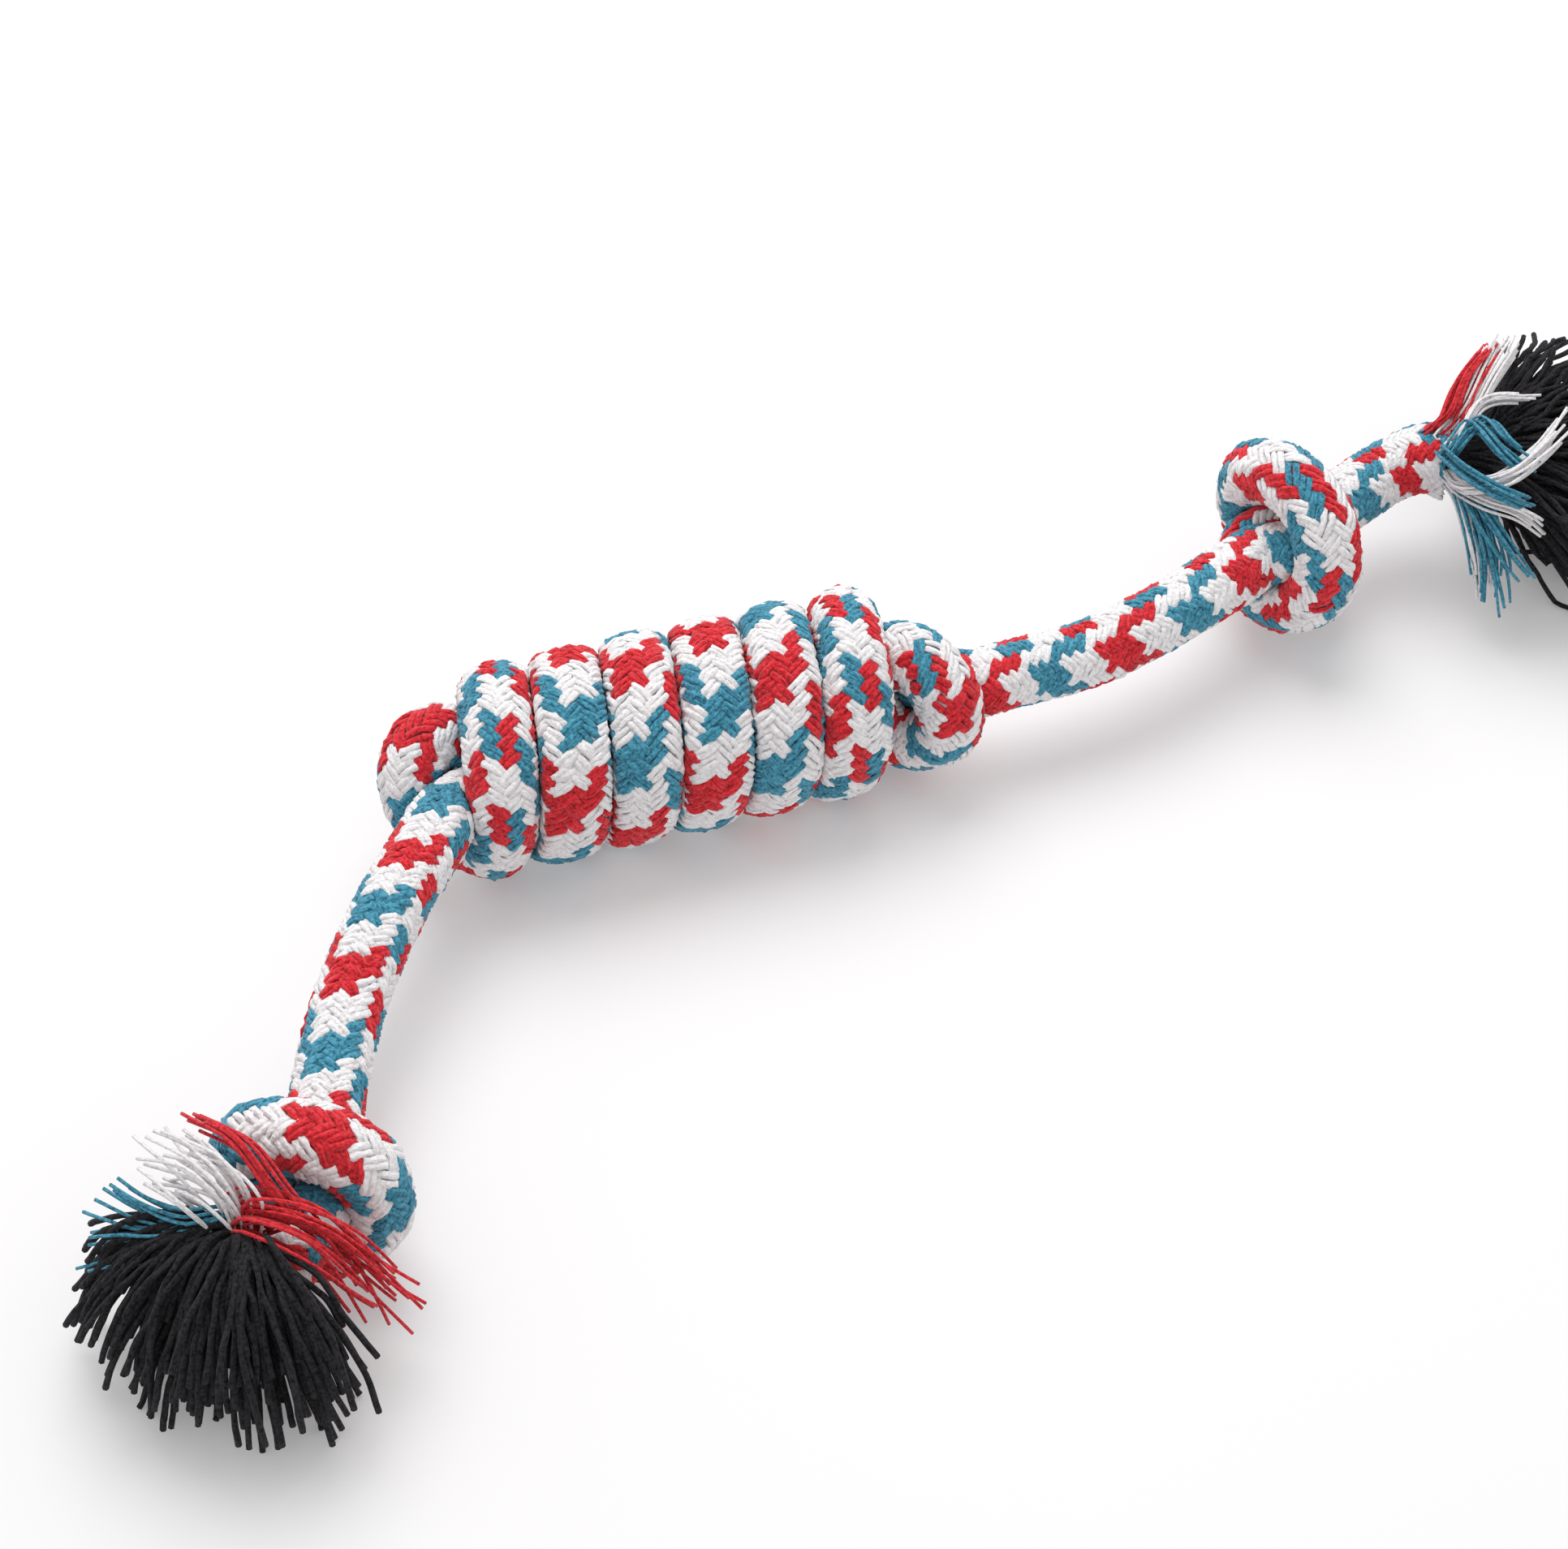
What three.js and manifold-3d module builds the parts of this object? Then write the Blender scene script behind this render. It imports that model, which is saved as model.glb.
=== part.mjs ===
// A rope tug toy: one length of braided cotton rope, wound into a long barrel knot at its middle,
// with an overhand knot near each end and a frayed tassel beyond each of those knots.
// Millimetres, +X along the barrel knot, +Z up, and the origin on the floor under its middle turn.

import * as THREE from 'three';
import Module from 'manifold-3d';

const wasm = await Module();
wasm.setup();

// The rope
const ropeDiameter = 13;
const coreDiameter = 8;
const touchGap = 0.3;
const turnGap = 0.62;
const flatDepth = ropeDiameter / 10;
const ropeRadius = ropeDiameter / 2;
const leadLength = ropeDiameter;
const overrun = 5;

// Two places on the rope are separate passes from this many diameters along it, and the inside of a
// bend is squeezed to this much of the bend's radius
const passShare = 1.2;
const squeezeShare = 0.8;

// The barrel knot at the middle: its turns, where the last one ends, and the first of the two passes
// inside them at the left and the right end, in degrees round it
const barrelTurns = 5.62;
const barrelPitch = ropeDiameter;
const barrelRadius = ropeDiameter;
const barrelEndDegrees = 270;
const turnsRightOfMiddle = 2;
const passageDegrees = [115, 165];
const innerShare = 0.34;
const innerOffset = innerShare * ropeDiameter;

// The two ends, from the barrel outwards: the free stretch, the overhand knot and, at the right, the
// stub behind it, with headings in the floor plane in degrees from +X
const leftRun = { length: 41.2, headings: [-128, -123, -110] };
const leftKnot = { radius: 11.6, pitch: 11.5, leaves: -132 };
const rightRun = { length: 39, headings: [2, 14, 23] };
const rightKnot = { radius: 14, pitch: 10.6, leaves: 26 };
const rightStub = { length: 18, headings: [26, -8], rise: 4 };
const endKnotStartDegrees = -10;

// Where each free stretch bends, how far, and how much farther its slanted faces leave room for
const swingShare = 0.27;
const liftShare = 0.73;
const bendLimitDegrees = 45;
const bendSpareDegrees = 4;

// The tassels: the core's yarns burst from a swollen end, and the sheath's lie round it in rows
const yarnDiameter = 1.5;
const coreYarnsPerRow = 14;
const coreRows = 6;
const coreRearDegrees = 100;
const coreFrontDegrees = 14;
const coreYarnLength = 26;
const swollenRadius = 5.6;
const sheathYarnsPerRow = 22;
const sheathYarnLength = 22;
const sheathRowDegrees = [106, 98, 90];
const tasselNeckLength = 3.6;
const floorClearance = 0.3;
const riseShare = 0.5;
const lengthShares = [1, 0.93, 0.97, 0.9, 0.99, 0.88, 0.95];

// How finely the round forms are cut
const stepsPerTurn = 24;
const woundSides = 6;
const runSides = 12;
const runStep = ropeDiameter;
const curvePoints = 16;
const bendPoints = 8;

// The barrel's ends, as shares of the rope's diameter: out past the turns, away from the viewer, up.
// At the left the rope comes in, and a bight takes its second pass under it to the first turn. At the
// right a small loop joins the passes, and the last turn dives through it.
const leftLeadShares = [0.66, -0.90, 0.20];
const leftEntryShares = [[0.34, -0.58, 0.10]];
const leftBightShares = [
  [0.30, 0.38, 0.42], [0.66, 0.24, 0.52], [0.86, 0, 0.30], [0.86, -0.22, -0.06], [0.66, -0.36, -0.42],
  [0.32, -0.46, -0.66],
];
const rightLoopShares = [
  [0.30, -0.28, -0.66], [0.70, -0.55, -0.66], [0.97, -0.80, -0.30], [1, -0.78, 0.15],
  [0.86, -0.52, 0.50], [0.58, -0.15, 0.62], [0.26, 0.03, 0.50],
];
const rightDiveShares = [
  [0.10, 0.95, -0.42], [0.30, 0.62, -0.50], [0.70, 0.15, -0.30], [1.10, -0.10, -0.08],
];
const rightLeadShares = [1.53, -0.32, -0.05];

// An overhand knot: how far its mouths are from its middle as a share of the pitch, and how its wrap
// leaves the rope's passage, in shares of the pitch along it, shares of the wrap's radius and degrees
const mouthShare = 0.22;
const bightShares = [
  [0.50, 0.40, 28], [0.60, 0.56, 75], [0.50, 0.76, 120], [0.32, 0.92, 175], [0.13, 0.99, 225],
];
const bightDegrees = 270;
const knotReachShare = 0.6;

const up = new THREE.Vector3(0, 0, 1);
const radians = THREE.MathUtils.degToRad;
const heading = (degrees) => new THREE.Vector3(Math.cos(radians(degrees)), Math.sin(radians(degrees)), 0);

// A place round the X axis, with the angle counted from the top towards the front
function around(along, out, degrees) {
  const angle = radians(degrees);
  return new THREE.Vector3(along, -out * Math.sin(angle), out * Math.cos(angle));
}

// How high the middle of a winding lies on the floor
const restHeight = (radius) => radius + ropeRadius - flatDepth;

// How far out the corners are of a regular section with as much area as the round one
const cornerRadius = (radius, sides) => (
  radius * Math.sqrt((2 * Math.PI) / sides / Math.sin((2 * Math.PI) / sides))
);

// Places spread evenly from one end of the barrel's turns to the other, round its axis
function acrossBarrel(steps, out, fromDegrees, toDegrees) {
  return Array.from({ length: steps + 1 }, (_, i) => around(
    barrelHalf * ((2 * i) / steps - 1), out, THREE.MathUtils.lerp(fromDegrees, toDegrees, i / steps),
  ));
}

// The barrel knot's route in its own frame, from the left lead to the right one. A left-handed winding,
// as its turns move left while they go over the top to the front.
function barrelRoute() {
  const passes = Math.ceil(barrelTurns) + 1;
  const [left, right] = passageDegrees;
  const startDegrees = barrelEndDegrees + 360 * barrelTurns;
  return [
    ...leftLead.toReversed(),
    ...leftEntryShares.map((shares) => atBarrelEnd(-1, shares)),
    ...acrossBarrel(passes, innerOffset, left, right),
    ...rightLoopShares.map((shares) => atBarrelEnd(1, shares)),
    ...acrossBarrel(passes, innerOffset, left + 180, right + 180).toReversed(),
    ...leftBightShares.map((shares) => atBarrelEnd(-1, shares)),
    ...acrossBarrel(Math.round(barrelTurns * curvePoints), barrelRadius, startDegrees, barrelEndDegrees),
    ...rightDiveShares.map((shares) => atBarrelEnd(1, shares)),
    ...rightLead,
  ];
}

// An overhand knot's route in its own frame: in through the passage, back over it in a wrap, and out
// through the passage again beside the first pass, with the same hand as the barrel
function overhandRoute({ pitch, radius }, entering, leaving) {
  const mouth = mouthShare * pitch;
  const leaves = endKnotStartDegrees - bightDegrees;
  const enters = endKnotStartDegrees + bightDegrees;
  return [
    ...entering.toReversed(),
    ...[-mouth, -mouth / 2, 0].map((along) => around(along, innerOffset, leaves)),
    ...bightShares.map(([along, out, on]) => around(along * pitch, out * radius, leaves + on)),
    around(0, radius, endKnotStartDegrees),
    ...bightShares.map(([along, out, on]) => around(-along * pitch, out * radius, enters - on)).reverse(),
    ...[0, mouth / 2, mouth].map((along) => around(along, innerOffset, enters)),
    ...leaving,
  ];
}

// Even samples of a smooth curve through points: places, directions and lengths along it
function sampled(points, step) {
  const curve = new THREE.CatmullRomCurve3(points, false, 'centripetal');
  curve.arcLengthDivisions = points.length * curvePoints;
  const length = curve.getLength();
  const steps = Math.max(1, Math.round(length / step));
  const places = [];
  const directions = [];
  for (let i = 0; i <= steps; i += 1) {
    places.push(curve.getPointAt(i / steps));
    directions.push(curve.getTangentAt(i / steps));
  }
  return { places, directions, length, step: length / steps };
}

// A direction across the rope at each sample, carried along it without twist
function carriedAcross({ directions }) {
  const across = [new THREE.Vector3().crossVectors(up, directions[0]).normalize()];
  for (let i = 1; i < directions.length; i += 1) {
    const turn = new THREE.Quaternion().setFromUnitVectors(directions[i - 1], directions[i]);
    across.push(across[i - 1].clone().applyQuaternion(turn));
  }
  return across;
}

// The rope's rings along a sampled line. Where two passes press on each other, both stop half the
// gap short of the plane midway between them, and on the inside of a bend the rope is squeezed.
function pressedRings(line, sides, outer) {
  const across = carriedAcross(line);
  const apart = stepsApart(line);
  const reach = 2 * outer + turnGap;
  return line.places.map((place, i) => {
    const near = [];
    line.places.forEach((other, j) => {
      const away = other.clone().sub(place);
      if (Math.abs(i - j) >= apart && away.length() < reach) near.push(away);
    });
    const before = line.directions[Math.max(0, i - 1)];
    const after = line.directions[Math.min(line.directions.length - 1, i + 1)];
    const bend = after.clone().sub(before).divideScalar(2 * line.step);
    return ring(place, line.directions[i], across[i], sides, (direction) => {
      let size = outer;
      for (const away of near) {
        const distance = away.length();
        const facing = direction.dot(away) / distance;
        if (facing > 0) size = Math.min(size, (distance - turnGap) / 2 / facing);
      }
      const inward = direction.dot(bend);
      return inward > 0 ? Math.min(size, squeezeShare / inward) : size;
    });
  });
}

const stepsApart = (line) => Math.ceil((passShare * ropeDiameter) / line.step);

function ring(centre, direction, across, sides, sizeTowards) {
  const other = new THREE.Vector3().crossVectors(direction, across);
  return Array.from({ length: sides }, (_, k) => {
    const angle = (2 * Math.PI * (k + 0.5)) / sides;
    const outward = across.clone().multiplyScalar(Math.cos(angle)).addScaledVector(other, Math.sin(angle));
    return centre.clone().addScaledVector(outward, sizeTowards(outward));
  });
}

// A closed skin over rings with equally many points each. It ends on a tip at each end, or it has
// none and its last ring joins its first, for a sleeve that runs out outside and back inside. A yarn
// grows out of each of its cells that tipOf gives an end to.
function skin(rings, tips, tipOf = () => null) {
  const sides = rings[0].length;
  const points = rings.flat();
  const triangles = [];
  const joins = tips ? rings.length - 1 : rings.length;
  for (let i = 0; i < joins; i += 1) {
    const next = ((i + 1) % rings.length) * sides;
    for (let k = 0; k < sides; k += 1) {
      const l = (k + 1) % sides;
      const rim = [i * sides + k, i * sides + l, next + l, next + k];
      const middle = new THREE.Vector3();
      for (const corner of rim) middle.addScaledVector(points[corner], 1 / rim.length);
      const tip = tipOf(i, k, middle);
      let cell = rim;
      if (tip) {
        cell = rim.map((_, j) => points.length + j);
        for (const corner of rim) {
          points.push(points[corner].clone().sub(middle).setLength(yarnDiameter / 2).add(tip));
        }
        rim.forEach((corner, j) => {
          const after = (j + 1) % rim.length;
          triangles.push(corner, rim[after], cell[j], rim[after], cell[after], cell[j]);
        });
      }
      triangles.push(cell[0], cell[1], cell[3], cell[1], cell[2], cell[3]);
    }
  }
  if (tips) {
    const end = (rings.length - 1) * sides;
    points.push(...tips);
    for (let k = 0; k < sides; k += 1) {
      const l = (k + 1) % sides;
      triangles.push(k, points.length - 2, l);
      triangles.push(end + l, points.length - 1, end + k);
    }
  }
  const geometry = new THREE.BufferGeometry();
  geometry.setAttribute('position', new THREE.Float32BufferAttribute(points.flatMap((p) => p.toArray()), 3));
  geometry.setIndex(new THREE.Uint32BufferAttribute(triangles, 1));
  return geometry;
}

function solidOf(geometry) {
  const vertProperties = new Float32Array(geometry.attributes.position.array);
  return new wasm.Manifold(new wasm.Mesh({
    numProp: 3, vertProperties, triVerts: new Uint32Array(geometry.index.array),
  }));
}

function geometryOf(solid) {
  const { vertProperties, triVerts } = solid.getMesh();
  const geometry = new THREE.BufferGeometry();
  geometry.setAttribute('position', new THREE.Float32BufferAttribute(vertProperties, 3));
  geometry.setIndex(new THREE.Uint32BufferAttribute(triVerts, 1));
  return geometry;
}

// The solid without what lies below a level, as rope is pressed flat where it lies on the floor
function cutBelow(geometry, level) {
  geometry.computeBoundingBox();
  const { min, max } = geometry.boundingBox;
  const depth = max.z - min.z;
  const block = new THREE.BoxGeometry(max.x - min.x + 2 * overrun, max.y - min.y + 2 * overrun, depth);
  block.translate((min.x + max.x) / 2, (min.y + max.y) / 2, level - depth / 2);
  block.deleteAttribute('normal');
  block.deleteAttribute('uv');
  return geometryOf(solidOf(geometry).subtract(solidOf(welded(block))));
}

// The same box with the corners that its faces share written once
function welded(geometry) {
  const found = new Map();
  const points = [];
  const { position } = geometry.attributes;
  const names = Array.from({ length: position.count }, (_, i) => {
    const point = new THREE.Vector3().fromBufferAttribute(position, i);
    const key = point.toArray().join();
    if (!found.has(key)) {
      found.set(key, points.length);
      points.push(point);
    }
    return found.get(key);
  });
  const welding = new THREE.BufferGeometry();
  welding.setAttribute('position', new THREE.Float32BufferAttribute(points.flatMap((p) => p.toArray()), 3));
  welding.setIndex(new THREE.Uint32BufferAttribute(Array.from(geometry.index.array, (i) => names[i]), 1));
  return welding;
}

// The smallest distance between passes of a wound rope, measured on the points of its rings
function leastGap(rings, apart) {
  let least = Infinity;
  for (let i = 0; i < rings.length; i += 1) {
    for (let j = i + apart; j < rings.length; j += 1) {
      for (const a of rings[i]) {
        for (const b of rings[j]) least = Math.min(least, a.distanceTo(b));
      }
    }
  }
  return least;
}

// The rope wound along a knot's route, whose wraps have this radius
function woundRope(name, points, radius) {
  const line = sampled(points, (2 * Math.PI * radius) / stepsPerTurn);
  const rings = pressedRings(line, woundSides, cornerRadius(ropeRadius, woundSides));
  const gap = leastGap(rings, stepsApart(line));
  console.log(`${name}: ${line.length.toFixed(0)} mm of rope, least gap to itself ${gap.toFixed(2)} mm`);
  return cutBelow(skin(rings, [line.places[0], line.places.at(-1)]), -restHeight(radius));
}

const cotton = (color) => new THREE.MeshStandardMaterial({ color, roughness: 0.95, metalness: 0 });
const colours = { sheath: 0xe6e2df, core: 0x2a282a };

const toy = new THREE.Group();

function add(parent, name, geometry, colour) {
  const mesh = new THREE.Mesh(geometry, cotton(colour));
  mesh.name = name;
  parent.add(mesh);
  return mesh;
}

// The barrel knot over the underside of its middle turn, and where the free stretches begin
const barrelHalf = (barrelTurns * barrelPitch) / 2;
const undersideDegrees = 360 + 180;
const barrelPlace = new THREE.Vector3(
  (turnsRightOfMiddle + (undersideDegrees - barrelEndDegrees) / 360) * barrelPitch - barrelHalf,
  0,
  restHeight(barrelRadius),
);
const atBarrelEnd = (side, [out, away, above]) => new THREE.Vector3(
  side * (barrelHalf + out * ropeDiameter), away * ropeDiameter, above * ropeDiameter,
);
const straightLead = (from, direction) => [
  from,
  from.clone().addScaledVector(direction, leadLength / 2),
  from.clone().addScaledVector(direction, leadLength),
];
const leftLead = straightLead(atBarrelEnd(-1, leftLeadShares), heading(leftRun.headings[0]));
const rightLead = straightLead(atBarrelEnd(1, rightLeadShares), heading(rightRun.headings[0]));

const barrel = new THREE.Group();
barrel.position.copy(barrelPlace);
toy.add(barrel);
add(barrel, 'barrel_knot', woundRope('barrel_knot', barrelRoute(), barrelRadius), colours.sheath);

// A route that turns evenly from heading to heading, and eases to the height that it ends at
function evenBend(start, headings, length, endHeight) {
  const points = [start.clone()];
  for (let i = 0; i < bendPoints; i += 1) {
    const at = (i / (bendPoints - 1)) * (headings.length - 1);
    const before = Math.min(Math.floor(at), headings.length - 2);
    const direction = heading(THREE.MathUtils.lerp(headings[before], headings[before + 1], at - before));
    const next = points[i].clone().addScaledVector(direction, length / bendPoints);
    const eased = THREE.MathUtils.smootherstep((i + 1) / bendPoints, 0, 1);
    next.z = THREE.MathUtils.lerp(start.z, endHeight, eased);
    points.push(next);
  }
  return new THREE.CatmullRomCurve3(points, false, 'centripetal');
}

// A piece of the rope between two lengths along a route: a rod, or a sleeve if it has a bore. An end
// at a bending place slants back from the rope's axis, so that the two sides can lean together.
function ropePiece(curve, from, to, outer, bore, bends) {
  const length = curve.getLength();
  const slant = Math.tan(radians(bendLimitDegrees + bendSpareDegrees) / 2);
  const back = (end, radius) => (bends[end] ? radius * slant + touchGap / 2 : 0);
  const ringAt = (at, radius) => {
    const direction = curve.getTangentAt(at / length);
    const across = new THREE.Vector3().crossVectors(up, direction).normalize();
    return ring(curve.getPointAt(at / length), direction, across, runSides, () => radius);
  };
  const ringsOf = (radius) => {
    const first = from + back(0, radius);
    const last = to - back(1, radius);
    const steps = Math.max(1, Math.ceil((last - first) / runStep));
    return Array.from({ length: steps + 1 }, (_, i) => (
      ringAt(THREE.MathUtils.lerp(first, last, i / steps), radius)
    ));
  };
  if (bore) return skin([...ringsOf(outer), ...ringsOf(bore).toReversed()]);
  const tips = [from + back(0, 0), to - back(1, 0)].map((at) => curve.getPointAt(at / length));
  return skin(ringsOf(outer), tips);
}

// A stretch of sheath with the core inside it
function coveredPiece(name, curve, from, to, bends) {
  const sheath = ropePiece(curve, from, to, ropeRadius, coreDiameter / 2 + touchGap, bends);
  const core = ropePiece(curve, from, to, coreDiameter / 2, 0, bends);
  add(toy, `${name}_sheath`, sheath, colours.sheath);
  add(toy, `${name}_core`, core, colours.core);
}

// A free stretch in three pieces, with a bending place between each two
function freeStretch(name, curve) {
  const length = curve.getLength();
  const swing = length * swingShare;
  const lift = length * liftShare;
  coveredPiece(`${name}_inner`, curve, touchGap, swing, [false, true]);
  coveredPiece(`${name}_middle`, curve, swing, lift, [true, true]);
  coveredPiece(`${name}_outer`, curve, lift, length - touchGap, [true, false]);
  for (const [use, at] of [['swings', swing], ['lifts', lift]]) {
    const place = curve.getPointAt(at / length).toArray().map((value) => value.toFixed(2));
    const along = curve.getTangentAt(at / length).toArray().map((value) => value.toFixed(4));
    console.log(`${name} ${use} at ${place.join(', ')} mm, along ${along.join(', ')}`);
  }
}

// An overhand knot in line with what enters it. It gives the place where the rope has left it.
function endKnot(name, entry, axisHeading, knot) {
  const reach = new THREE.Vector3(knotReachShare * ropeDiameter, 0, 0);
  const group = new THREE.Group();
  group.position.copy(entry).addScaledVector(heading(axisHeading), reach.x + leadLength);
  group.position.z = restHeight(knot.radius);
  group.rotation.z = radians(axisHeading);
  toy.add(group);
  const entering = straightLead(reach.clone().negate(), heading(180));
  const leaving = straightLead(reach, heading(knot.leaves - axisHeading));
  const route = overhandRoute(knot, entering, leaving);
  add(group, name, woundRope(name, route, knot.radius), colours.sheath);
  group.updateMatrixWorld();
  return group.localToWorld(leaving.at(-1).clone());
}

// Yarns droop: above their neck they rise less than they would, and below it they end on the floor
function drooped(offset, neckHeight, length) {
  const fall = (neckHeight - floorClearance - yarnDiameter) / length;
  return offset.clone().setZ(offset.z * (offset.z > 0 ? riseShare : Math.min(1, fall)));
}

// A place on a turned form whose axis leaves a neck in a level direction
function turned(neck, axis, along, out, degrees) {
  const side = new THREE.Vector3().crossVectors(up, axis);
  const angle = radians(degrees);
  return neck.clone().addScaledVector(axis, along)
    .addScaledVector(side, out * Math.cos(angle)).addScaledVector(up, out * Math.sin(angle));
}

const turnedRings = (neck, axis, profile, sides) => profile.map(([along, out]) => Array.from(
  { length: sides }, (_, k) => turned(neck, axis, along, out, (360 * k) / sides),
));

// Every other cell of a row has a yarn, and the next row has the cells between
const hasYarn = (row, k) => (row + k) % 2 === 0;
const yarnLength = (length, row, k) => length * lengthShares[(3 * row + k) % lengthShares.length];

// The core's end of a tassel: the core swells past the sheath, and its yarns burst out in a mop
function coreTassel(neck, axis) {
  const middle = turned(neck, axis, tasselNeckLength + swollenRadius, 0, 0);
  const angles = Array.from({ length: coreRows + 1 }, (_, row) => (
    radians(THREE.MathUtils.lerp(coreRearDegrees, coreFrontDegrees, row / coreRows))
  ));
  const dome = angles.map((angle) => [
    tasselNeckLength + swollenRadius * (1 + Math.cos(angle)), swollenRadius * Math.sin(angle),
  ]);
  const profile = [[0, coreDiameter / 2], [tasselNeckLength, coreDiameter / 2], ...dome];
  const firstRow = profile.length - dome.length;
  const ends = [0, tasselNeckLength + 2 * swollenRadius].map((at) => turned(neck, axis, at, 0, 0));
  return skin(turnedRings(neck, axis, profile, 2 * coreYarnsPerRow), ends, (i, k, root) => {
    if (i < firstRow || !hasYarn(i, k)) return null;
    const direction = root.clone().sub(middle).setLength(yarnLength(coreYarnLength, i, k));
    return middle.clone().add(drooped(direction, neck.z, coreYarnLength));
  });
}

// The sheath's end of a tassel: a sleeve round the core, with rows of yarns that lie back over it
function sheathTassel(neck, axis) {
  const rows = sheathRowDegrees.length;
  const bore = coreDiameter / 2 + touchGap;
  const profile = Array.from({ length: rows + 1 }, (_, row) => (
    [(tasselNeckLength * row) / rows, ropeRadius]
  ));
  profile.push([tasselNeckLength, bore], [0, bore]);
  return skin(turnedRings(neck, axis, profile, 2 * sheathYarnsPerRow), null, (i, k, root) => {
    if (i >= rows || !hasYarn(i, k)) return null;
    const lean = radians(sheathRowDegrees[i]);
    const outward = root.clone().sub(neck);
    outward.addScaledVector(axis, -outward.dot(axis)).normalize();
    const direction = axis.clone().multiplyScalar(Math.cos(lean)).addScaledVector(outward, Math.sin(lean));
    direction.setLength(yarnLength(sheathYarnLength, i, k));
    return root.clone().add(drooped(direction, root.z, sheathYarnLength));
  });
}

function tassel(name, neck, axisHeading) {
  const axis = heading(axisHeading);
  add(toy, `${name}_core`, coreTassel(neck, axis), colours.core);
  add(toy, `${name}_sheath`, sheathTassel(neck, axis), colours.sheath);
}

// A free stretch out from the barrel and the knot behind it, up to where the rope leaves the knot
function knottedEnd(name, leadEnd, run, knot) {
  const start = leadEnd.clone().add(barrelPlace);
  const stretch = evenBend(start, run.headings, run.length, restHeight(knot.radius));
  freeStretch(`${name}_run`, stretch);
  return endKnot(`${name}_knot`, stretch.getPointAt(1), run.headings.at(-1), knot);
}

const leftNeck = knottedEnd('left', leftLead.at(-1), leftRun, leftKnot);
tassel('left_tassel', leftNeck.addScaledVector(heading(leftKnot.leaves), touchGap), leftKnot.leaves);

const stubStart = knottedEnd('right', rightLead.at(-1), rightRun, rightKnot);
const stub = evenBend(stubStart, rightStub.headings, rightStub.length, stubStart.z + rightStub.rise);
coveredPiece('right_stub', stub, touchGap, stub.getLength() - touchGap, [false, false]);
tassel('right_tassel', stub.getPointAt(1), rightStub.headings.at(-1));

export default toy;
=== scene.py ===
"""The looks of a rope tug toy: its braid yarn by yarn, its tassels, a pale floor and soft light.

Lengths are in metres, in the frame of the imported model.
"""

import math

import bpy
import numpy as np
from mathutils import Matrix, Vector


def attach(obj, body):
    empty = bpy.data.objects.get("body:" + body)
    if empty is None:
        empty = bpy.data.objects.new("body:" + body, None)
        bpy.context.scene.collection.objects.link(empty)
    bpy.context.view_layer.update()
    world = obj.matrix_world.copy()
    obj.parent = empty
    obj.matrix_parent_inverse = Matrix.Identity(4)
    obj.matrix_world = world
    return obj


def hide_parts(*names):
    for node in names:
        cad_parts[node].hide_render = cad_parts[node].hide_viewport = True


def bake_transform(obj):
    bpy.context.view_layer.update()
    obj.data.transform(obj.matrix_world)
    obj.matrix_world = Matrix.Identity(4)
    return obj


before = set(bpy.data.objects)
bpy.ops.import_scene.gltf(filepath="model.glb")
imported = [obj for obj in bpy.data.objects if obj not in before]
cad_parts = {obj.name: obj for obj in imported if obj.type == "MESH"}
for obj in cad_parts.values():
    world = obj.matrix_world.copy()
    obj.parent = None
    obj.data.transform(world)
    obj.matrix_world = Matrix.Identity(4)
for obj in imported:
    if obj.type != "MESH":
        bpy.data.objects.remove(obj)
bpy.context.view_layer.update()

# The rope
ROPE = 0.013
RADIUS = ROPE / 2
FLAT_DEPTH = ROPE / 10
INNER_OFFSET = 0.34 * ROPE
LEAD = ROPE

# The barrel knot: its turns, where the last one ends, and the first of the two passes inside them at
# the left and the right end, in degrees round it
BARREL_TURNS = 5.62
BARREL_PITCH = ROPE
BARREL_RADIUS = ROPE
BARREL_END_DEGREES = 270
TURNS_RIGHT_OF_MIDDLE = 2
PASSAGE_DEGREES = (115, 165)

# The two ends, from the barrel outwards, with headings in the floor plane in degrees from +X. The
# stub leaves the right knot a little more towards the viewer than in the solids.
LEFT_RUN = {"length": 0.0412, "headings": (-128, -123, -110)}
LEFT_KNOT = {"radius": 0.0116, "pitch": 0.0115, "leaves": -132}
RIGHT_RUN = {"length": 0.039, "headings": (2, 14, 23)}
RIGHT_KNOT = {"radius": 0.014, "pitch": 0.0106, "leaves": 26}
RIGHT_STUB = {"length": 0.0185, "headings": (26, -30), "rise": 0.0035}
END_KNOT_START = -10
KNOT_REACH = 0.6 * ROPE

# Where each free stretch bends, as shares of its length, and how far the bend reaches each way
SWING_SHARE = 0.27
LIFT_SHARE = 0.73
BEND_REACH = 0.62 * ROPE
TANGENT_SHARE = 0.02

# The barrel's ends, as shares of the rope's diameter: out past the turns, away from the viewer, up
LEFT_LEAD_SHARES = (0.66, -0.90, 0.20)
LEFT_ENTRY_SHARES = ((0.34, -0.58, 0.10),)
LEFT_BIGHT_SHARES = (
    (0.30, 0.38, 0.42), (0.66, 0.24, 0.52), (0.86, 0, 0.30), (0.86, -0.22, -0.06),
    (0.66, -0.36, -0.42), (0.32, -0.46, -0.66),
)
RIGHT_LOOP_SHARES = (
    (0.30, -0.28, -0.66), (0.70, -0.55, -0.66), (0.97, -0.80, -0.30), (1, -0.78, 0.15),
    (0.86, -0.52, 0.50), (0.58, -0.15, 0.62), (0.26, 0.03, 0.50),
)
RIGHT_DIVE_SHARES = (
    (0.10, 0.95, -0.42), (0.30, 0.62, -0.50), (0.70, 0.15, -0.30), (1.10, -0.10, -0.08),
)
RIGHT_LEAD_SHARES = (1.53, -0.32, -0.05)

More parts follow.
